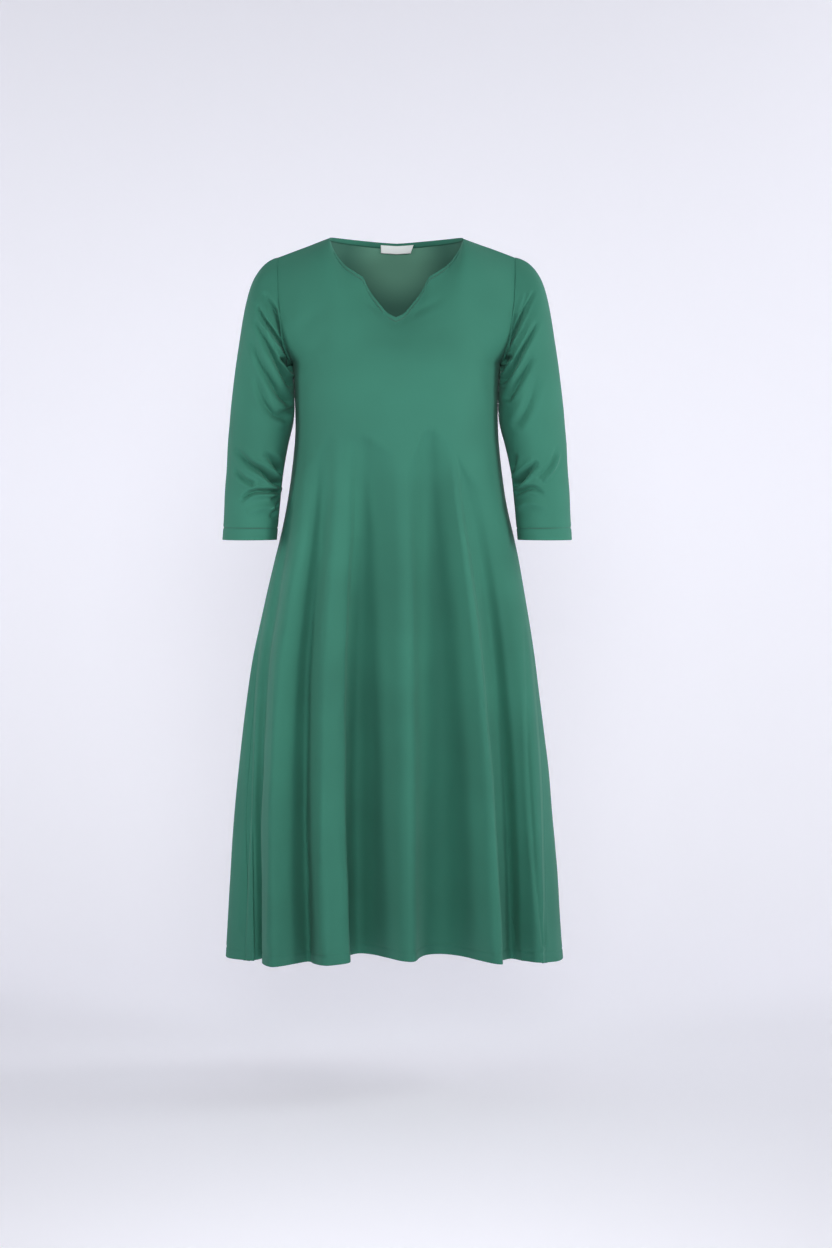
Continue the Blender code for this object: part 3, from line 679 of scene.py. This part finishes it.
def makePanel(panel):
    points, fromHem, fromTop, angle = panelPoints(panel)
    outward = -panel["face"]
    seamSide = ramp(angle, *dress["seamSide"])[None, :]
    share = ramp(fromTop, *dress["evenFrom"]) * ramp(fromTop, *dress["evenTo"]) * seamSide
    points = evened(points, share)
    normals = normalsOf(points, outward)
    points = pressed(points, normals, panel["face"], panel["creases"])
    points = pressed(points, normals, -1, dress["sideGrooves"])
    neck = ramp(angle, dress["neckAngle"], dress["neckAngle"] + dress["neckBlend"])[None, :]
    band = ramp(fromTop, *panel["neckBandReach"]) if "neckBandReach" in panel else 1.0
    roll = panel["neckBand"] * band
    roll = roll + panel["neckRoll"] * ridge(fromTop, panel["neckRollPlace"], dress["neckRollWidth"])
    stitched = -dress["stitchDepth"] * ridge(fromHem, dress["hemDepth"], dress["stitchWidth"])
    waves = unevenness(points, dress["waveLength"], dress["waveHeight"])
    waves = waves * ramp(fromHem, 0, dress["waveRise"]) * seamSide
    points = points + normals * (roll * neck + stitched + waves)[..., None]
    normals = normalsOf(points, outward)
    points, normals = turnEdge(points, normals, True, dress["hemDepth"])
    points, normals = turnEdge(points, normals, False, dress["neckTurn"])
    points, normals = (swapped(grid) for grid in (points, normals))
    points, normals = turnEdge(points, normals, True, dress["seamAllowance"])
    points, normals = turnEdge(points, normals, False, dress["seamAllowance"])
    points = swapped(points)
    piece = clothObject(panel["name"], points, (jerseyOut, jerseyIn), False, panel["face"] > 0)
    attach(piece, "root")
    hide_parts(panel["node"])
    print(panel["name"], len(piece.data.polygons), "faces")


makePanel(frontPanel)
makePanel(backPanel)

# sleeves

sleeve = {
    "columns": ("drop", "outer", "inner", "middle", "depth", "slant"),
    "rows": (
        (176, 230.5, 153.0, -16, 58, 38),
        (215, 237.5, 151.5, -19, 57, 28),
        (255, 243.5, 152.5, -23, 55, 19),
        (300, 249.0, 160.8, -24, 53, 11),
        (345, 252.5, 168.0, -24, 51, 6),
        (400, 256.0, 173.5, -25, 49, 2),
        (452, 259.0, 178.0, -27, 47.5, 0),
    ),
    # pull of the cap where it leaves the armhole, outward and down, and where it reaches the arm
    "leaveUnder": (-1 * mm, 13 * mm),
    "leaveFront": 12 * mm,
    "arriveUnder": 22 * mm,
    "arriveTop": 200 * mm,
    "slopeDrop": 4 * mm,           # drop that gives the slope where the cap meets the arm
    "creaseDepth": 3.5,
    "creaseWidth": 0.78,
    "asideFrom": (270 * mm, 360 * mm),   # drops over which the inner side moves aside too
    "creaseFade": (0.12, 0.5),     # creases run out where the cloth turns away to the side
    "around": 200,
    "seamShares": (0, 0.012, 0.025, 0.04, 0.06),   # finer rings beside the armhole
    "capStart": 0.085,
    "capRows": 54,
    "armRows": 132,
    "armEnd": 28 * mm,             # above the cuff's edge, where its finer rings begin
    "stitchDepth": 1.2 * mm,
    "stitchWidth": 1.2 * mm,
    "waveLength": 0.05,
    "waveHeight": 0.9 * mm,
    "waveRise": 0.03,
    "innerSide": (0.97, 0.6),      # cosines between which the waves run out towards the body
    "flat": (0.36, 0.445),
    "area": 0.12,
}

rightSleeve = {
    "name": "rightSleeve",
    "node": "right_sleeve",
    "side": -1,
    "aside": 0.0,                   # how far the arm is moved out
    "leaveTop": (86 * mm, 20 * mm),
    "seamFade": 0.06,               # share of the cap over which creases run out at the armhole
    # laid out like those of the panels
    "frontCreases": (
        ((-200, -83), (-188, -102), (-178, -120), (-169, -146), 2.6, 5.5),
        ((-209, -102), (-197, -125), (-182, -147), (-167, -167), (-156, -194), 3.4, 3.4),
        ((-174, -179), (-166, -186), (-156, -200), 5.0, 3.8),
        ((-212, -125), (-199, -150), (-185, -176), (-170, -201), (-159, -220), 3.2, 5),
        ((-216, -152), (-205, -185), (-191, -210), (-176, -233), (-162, -247), 2.8, 6),
        ((-212, -210), (-199, -243), (-185, -263), (-168, -270), 2.4, 6.5),
        ((-176, -263), (-163, -260), (-153, -256), 1.8, 5),
        ((-241, -316), (-221, -338), (-200, -351), (-184, -363), (-168, -373), 4.6, 5.5),
        ((-198, -322), (-181, -338), (-166, -358), 3.2, 5.5),
        ((-234, -395), (-221, -384), (-209, -380), (-193, -380), (-171, -380), 3.8, 3.8),
        ((-242, -346), (-230, -361), (-216, -369), 2.0, 4),
        ((-189, -393), (-171, -385), 2.2, 3.6),
        ((-189, -419), (-174, -397), 2.2, 4.2),
        ((-224, -412), (-196, -404), (-178, -410), -1.6, 7),
    ),
    "backCreases": (
        ((-206, -96), (-190, -128), (-172, -160), (-158, -186), 3.6, 5),
        ((-214, -146), (-196, -180), (-176, -212), (-160, -232), 3.2, 6),
        ((-218, -204), (-196, -238), (-166, -262), 2.6, 7),
        ((-246, -322), (-222, -340), (-196, -352), (-172, -366), 4.2, 6),
        ((-244, -372), (-216, -378), (-180, -376), 3.2, 4.5),
    ),
}

leftSleeve = {
    "name": "leftSleeve",
    "node": "left_sleeve",
    "side": 1,
    "aside": 2.5 * mm,
    "leaveTop": (100 * mm, 18 * mm),
    "seamFade": 0.3,
    "frontCreases": (
        ((206, -80), (190, -113), (176, -143), (166, -162), (158, -184), 3.2, 3.4),
        ((184, -86), (175, -107), (169, -128), (165, -152), 2.0, 5),
        ((196, -84), (190, -100), (184, -112), 1.2, 3.5),
        ((174, -179), (164, -182), (157, -198), 3.6, 4),
        ((211, -125), (199, -150), (188, -170), (175, -194), (161, -214), 3.0, 4.2),
        ((205, -176), (190, -203), (168, -240), 2.2, 5.5),
        ((211, -208), (197, -251), (182, -278), 1.6, 7.5),
        ((241, -312), (230, -339), (214, -358), 1.1, 3.4),
        ((245, -322), (236, -345), (222, -363), -1.2, 3),
        ((212, -336), (196, -350), (184, -363), (171, -374), 4.6, 5.2),
        ((178, -322), (171, -344), (166, -362), 3.0, 5.5),
        ((222, -385), (203, -375), (182, -381), 2.2, 4),
        ((176, -384), (171, -400), 2.0, 4),
        ((226, -404), (200, -398), (184, -404), -1.4, 7),
    ),
    "backCreases": (
        ((208, -90), (192, -124), (174, -156), (159, -184), 3.4, 5),
        ((214, -140), (198, -176), (178, -208), (161, -228), 3.2, 6),
        ((220, -210), (198, -244), (168, -266), 2.4, 7),
        ((244, -316), (220, -338), (194, -354), (172, -370), 4.2, 6),
        ((240, -382), (210, -376), (180, -382), 2.8, 4.5),
    ),
}


def sleeveSection(arm, around, drop):
    rows = named(sleeve["columns"], sleeve["rows"])
    size = {name: smoothly(rows["drop"] * mm, rows[name] * mm, drop) for name in sleeve["columns"]}
    radians = np.radians(around)
    outer = size["outer"] + arm["aside"]
    inner = size["inner"] + arm["aside"] * ramp(drop, *sleeve["asideFrom"])
    middle, half = (outer + inner) / 2, (outer - inner) / 2
    return np.stack([middle - half * np.cos(radians), size["middle"] - size["depth"] * np.sin(radians),
                     -drop - size["slant"] * np.cos(radians)], -1)


def sleeveCap(arm, around, t):
    front = armhole(frontPanel, np.clip(around / 180.0, 0.0, 1.0))
    back = armhole(backPanel, np.clip((360.0 - around) / 180.0, 0.0, 1.0))
    start = np.where((around <= 180.0)[..., None], front, back)
    first = sleeve["rows"][0][0] * mm
    end, below = (sleeveSection(arm, around, first + step + 0 * around) for step in (0, sleeve["slopeDrop"]))
    radians = np.radians(around)
    top = (1 - np.cos(radians)) / 2
    outward = sleeve["leaveUnder"][0] + top * (arm["leaveTop"][0] - sleeve["leaveUnder"][0])
    downward = sleeve["leaveUnder"][1] + top * (arm["leaveTop"][1] - sleeve["leaveUnder"][1])
    leave = np.stack([outward, -sleeve["leaveFront"] * np.sin(radians), -downward], -1)
    length = sleeve["arriveUnder"] + top * (sleeve["arriveTop"] - sleeve["arriveUnder"])
    return between(start, end, leave, unit(below - end) * length[..., None], t[..., None])


def makeSleeve(arm):
    around = np.linspace(0.0, 360.0, sleeve["around"] + 1)
    first, last = (sleeve["rows"][place][0] * mm for place in (0, -1))
    capShares = np.linspace(sleeve["capStart"], 1, sleeve["capRows"])
    capShares = np.concatenate([sleeve["seamShares"], capShares])
    rings = [sleeveCap(arm, around, np.full(around.shape, share)) for share in capShares[:-1]]
    drops = np.linspace(first, last - sleeve["armEnd"], sleeve["armRows"])
    drops = np.concatenate([drops, last - hemSteps[::-1][2:]])
    rings += [sleeveSection(arm, around, np.full(around.shape, drop)) for drop in drops]
    points = np.array(rings)[::-1]                                  # cuff first, armhole last
    fromCuff = last + points[..., 2]
    middle = points[:, :-1].mean(axis=1, keepdims=True)
    outward = points - middle
    outward[..., 2] = 0.0
    outward = unit(outward)
    plain = points
    for face, creases in ((-1, arm["frontCreases"]), (1, arm["backCreases"])):
        creases = [(*line, depth * sleeve["creaseDepth"], width * sleeve["creaseWidth"])
                   for *line, depth, width in creases]
        points = pressed(points, outward, face, creases, arm["side"], sleeve["creaseFade"])
    atSeam = ramp(capShares[:-1], 0, arm["seamFade"])
    creased = np.concatenate([atSeam, np.ones(len(points) - len(atSeam))])[::-1, None, None]
    points = plain + (points - plain) * creased
    stitched = -sleeve["stitchDepth"] * ridge(fromCuff, dress["cuffDepth"], sleeve["stitchWidth"])
    outerSide = ramp(np.cos(np.radians(around)), *sleeve["innerSide"])[None, :]
    waves = unevenness(points, sleeve["waveLength"], sleeve["waveHeight"])
    waves = waves * ramp(fromCuff, 0, sleeve["waveRise"]) * outerSide
    points = points + outward * (stitched + waves)[..., None]
    points[:, -1] = points[:, 0]
    wrapped = np.concatenate([points[:, -2:-1], points, points[:, 1:2]], axis=1)
    normals = normalsOf(wrapped, 1)[:, 1:-1]
    points, normals = turnEdge(points, normals, True, dress["cuffDepth"])
    points, normals = turnEdge(points, normals, False, dress["seamAllowance"] / 2)
    points[..., 0] *= arm["side"]
    piece = clothObject(arm["name"], points, (jerseyOut, jerseyIn), True, arm["side"] < 0)
    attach(piece, "root")
    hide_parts(arm["node"])
    print(arm["name"], len(piece.data.polygons), "faces")


makeSleeve(rightSleeve)
makeSleeve(leftSleeve)

# bare label inside the back neck

label = {
    "name": "neckLabel",
    "node": "neck_label",
    "left": -24.5 * mm,
    "right": 26 * mm,
    "slant": 4.5 * mm,
    "top": 3.5 * mm,
    "height": 12 * mm,
    "standOff": 1.5 * mm,
    "tilt": 2.5 * mm,                   # how much further the free lower edge stands off
    "thickness": 0.4 * mm,
    "flat": (0.051, 0.013),
    "columns": 40,
    "rows": 12,
    "colour": (0.82, 0.87, 0.865),
    "shade": 0.92,                      # of the darker threads
    "bump": 0.15,
    "bumpHeight": 0.05 * mm,
    "roughness": 0.45,
}


def satinMaterial():
    material = bpy.data.materials.new("labelSatin")
    material.use_nodes = True
    tree = material.node_tree
    shader = tree.nodes["Principled BSDF"]
    cloth = add(tree, "ShaderNodeUVMap", (-1100, 0), uv_map="weave")
    inMm = add(tree, "ShaderNodeMapping", (-900, 0), Scale=(1000, 1000, 1000))
    threads = add(tree, "ShaderNodeTexWave", (-650, 0), Scale=0.9, Distortion=0.3)
    slub = add(tree, "ShaderNodeTexNoise", (-650, -250), Scale=0.8, Detail=3.0)
    mixed = add(tree, "ShaderNodeMix", (-350, 100), data_type="RGBA")
    mixed.inputs[6].default_value = (*(value * label["shade"] for value in label["colour"]), 1)
    mixed.inputs[7].default_value = (*label["colour"], 1)
    bump = add(tree, "ShaderNodeBump", (-300, -200), Strength=label["bump"], Distance=label["bumpHeight"])
    wire(tree, cloth.outputs[0], inMm.inputs[0], inMm.outputs[0], threads.inputs[0], inMm.outputs[0],
         slub.inputs[0], slub.outputs[0], mixed.inputs[0], mixed.outputs[2], shader.inputs["Base Color"],
         threads.outputs[1], bump.inputs["Height"], bump.outputs[0], shader.inputs["Normal"])
    shader.inputs["Roughness"].default_value = label["roughness"]
    return material


def makeLabel():
    columns, rows = label["columns"], label["rows"]
    grid = np.zeros((rows + 1, columns + 1, 3))
    for row, down in enumerate(np.linspace(0, 1, rows + 1)):
        shares = np.linspace(0, 1, columns + 1)
        x = label["left"] + shares * (label["right"] - down * label["slant"] - label["left"])
        quarter = np.arccos(np.clip(np.abs(x) / dress["neckHalfWidth"], 0, 1))
        angle = dress["neckAngle"] + np.degrees(quarter) / 90.0 * (90.0 - dress["neckAngle"])
        turn = np.where(x < 0, 360.0 - angle, 180.0 + angle)
        top, _ = topEdge(backPanel, angle)
        start = skirtPoint(1, turn, 0 * turn)
        start[:, 0] = np.abs(start[:, 0])
        reach = np.linalg.norm(top - start, axis=-1)
        grid[row] = chestPoint(backPanel, turn, 1 - (label["top"] + down * label["height"]) / reach)
        grid[row][:, 0] = x
    normals = normalsOf(grid[::-1], 1)[::-1]
    away = label["standOff"] + dress["clothThickness"] + label["tilt"] * np.linspace(0, 1, rows + 1)
    points = (grid + normals * away[:, None, None])[::-1]
    piece = clothObject(label["name"], points, (satinMaterial(),), False, False)
    piece.modifiers["cloth"].thickness = label["thickness"]
    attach(piece, "root")
    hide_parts(label["node"])
    print(label["name"], len(piece.data.polygons), "faces")


makeLabel()

# floor, light and camera

studio = {
    "floorDrop": 1.27,
    "floorFront": -6.0,
    "sweepRadius": 0.9,                 # the paper turns up as far behind the dress as its radius
    "sweepStep": 9,                     # degrees
    "paperTop": 4.5,
    "halfWidth": 5.0,
    "paper": (0.80, 0.80, 0.86),
    "paperRoughness": 0.95,
    "paperGloss": 0.1,
    "paperGlow": (0.93, 0.92, 1.0),     # stands in for the light that white walls throw on the paper
    "glowStrength": 0.255,
    "world": (0.90, 0.92, 1.0),
    "worldStrength": 0.12,
    # name, place, size, power
    "lights": (
        ("rightSoftbox", (3.2, -1.9, 0.1), 1.3, 5.1),
        ("leftSoftbox", (-3.2, -1.6, 0.1), 1.3, 3.45),
        ("frontFill", (0.1, -4.6, 0.6), 1.6, 7.6),
    ),
    "spread": 42.0,
    # lamps at the sides, aimed at the paper behind the dress
    "paperLights": (
        ("rightPaperLight", (2.8, 0.5, 1.0), 1.5, 30),
        ("leftPaperLight", (-3.0, 0.5, 0.8), 1.5, 13),
    ),
    "paperAim": (0.1, 1.8, 0.2),
    "paperSpread": 180.0,
    # one more above the floor in front
    "floorLights": (("floorLight", (0.0, -1.5, 0.9), 1.0, 5.0),),
    "floorAim": (0.0, -1.45, -1.27),
    "floorSpread": 70.0,
    "camera": (view["x"], -view["distance"], view["height"]),
    "tilt": math.degrees(math.atan(139 / 2666.7)),    # the line of sight sinks 139 mm in 2666.7 mm
    "lens": 76.92,
    "sensor": 36.0,
    "aim": (0.0, 0.0, -0.21),
}


def makeStudio():
    radius, step, half = studio["sweepRadius"], studio["sweepStep"], studio["halfWidth"]
    profile = [(studio["floorFront"], 0.0), (radius, 0.0)]
    for bend in np.radians(range(step, 91, step)):
        profile.append((radius + radius * math.sin(bend), radius - radius * math.cos(bend)))
    profile += [(2 * radius, studio["paperTop"])]
    bm = bmesh.new()
    line = [bm.verts.new((-half, y, z - studio["floorDrop"])) for y, z in profile]
    edges = [bm.edges.new(pair) for pair in zip(line, line[1:])]
    sweep = bmesh.ops.extrude_edge_only(bm, edges=edges)
    far = [part for part in sweep["geom"] if isinstance(part, bmesh.types.BMVert)]
    bmesh.ops.translate(bm, vec=(2 * half, 0, 0), verts=far)
    bm.normal_update()
    for face in bm.faces:
        face.smooth = True
        if face.normal.dot(Vector(studio["camera"]) - face.calc_center_median()) < 0:
            face.normal_flip()
    mesh = bpy.data.meshes.new("studioSweep")
    bm.to_mesh(mesh)
    bm.free()
    floor = bpy.data.objects.new("studioSweep", mesh)
    bpy.context.scene.collection.objects.link(floor)
    paper = bpy.data.materials.new("studioPaper")
    paper.use_nodes = True
    shader = paper.node_tree.nodes["Principled BSDF"]
    shader.inputs["Base Color"].default_value = (*studio["paper"], 1)
    shader.inputs["Roughness"].default_value = studio["paperRoughness"]
    shader.inputs["Specular IOR Level"].default_value = studio["paperGloss"]
    shader.inputs["Emission Color"].default_value = (*studio["paperGlow"], 1)
    shader.inputs["Emission Strength"].default_value = studio["glowStrength"]
    # the paper is clear from its back, so it never hides the dress
    tree = paper.node_tree
    sides = add(tree, "ShaderNodeNewGeometry", (0, 500))
    clear = add(tree, "ShaderNodeBsdfTransparent", (0, 350))
    shown = add(tree, "ShaderNodeMixShader", (300, 400))
    wire(tree, sides.outputs["Backfacing"], shown.inputs[0], shader.outputs[0], shown.inputs[1],
         clear.outputs[0], shown.inputs[2], shown.outputs[0], tree.nodes["Material Output"].inputs["Surface"])
    mesh.materials.append(paper)
    world = bpy.data.worlds.new("studioWorld")
    bpy.context.scene.world = world
    world.use_nodes = True
    sky = world.node_tree.nodes["Background"]
    sky.inputs[0].default_value = (*studio["world"], 1)
    sky.inputs[1].default_value = studio["worldStrength"]
    groups = ((studio["lights"], studio["aim"], studio["spread"]),
              (studio["paperLights"], studio["paperAim"], studio["paperSpread"]),
              (studio["floorLights"], studio["floorAim"], studio["floorSpread"]))
    for lights, aim, spread in groups:
        for name, place, size, power in lights:
            lamp = bpy.data.lights.new(name, "AREA")
            lamp.shape, lamp.size, lamp.energy = "DISK", size, power
            lamp.spread = math.radians(spread)
            holder = bpy.data.objects.new(name, lamp)
            holder.location = place
            holder.rotation_euler = (Vector(aim) - Vector(place)).to_track_quat("-Z", "Y").to_euler()
            bpy.context.scene.collection.objects.link(holder)
    eye = bpy.data.cameras.new("viewCamera")
    eye.lens, eye.sensor_width = studio["lens"], studio["sensor"]
    camera = bpy.data.objects.new("viewCamera", eye)
    camera.location = studio["camera"]
    camera.rotation_euler = (math.radians(90 - studio["tilt"]), 0, 0)
    bpy.context.scene.collection.objects.link(camera)
    bpy.context.scene.camera = camera
    bpy.context.scene.view_settings.view_transform = "Standard"


makeStudio()
print("studio ready")
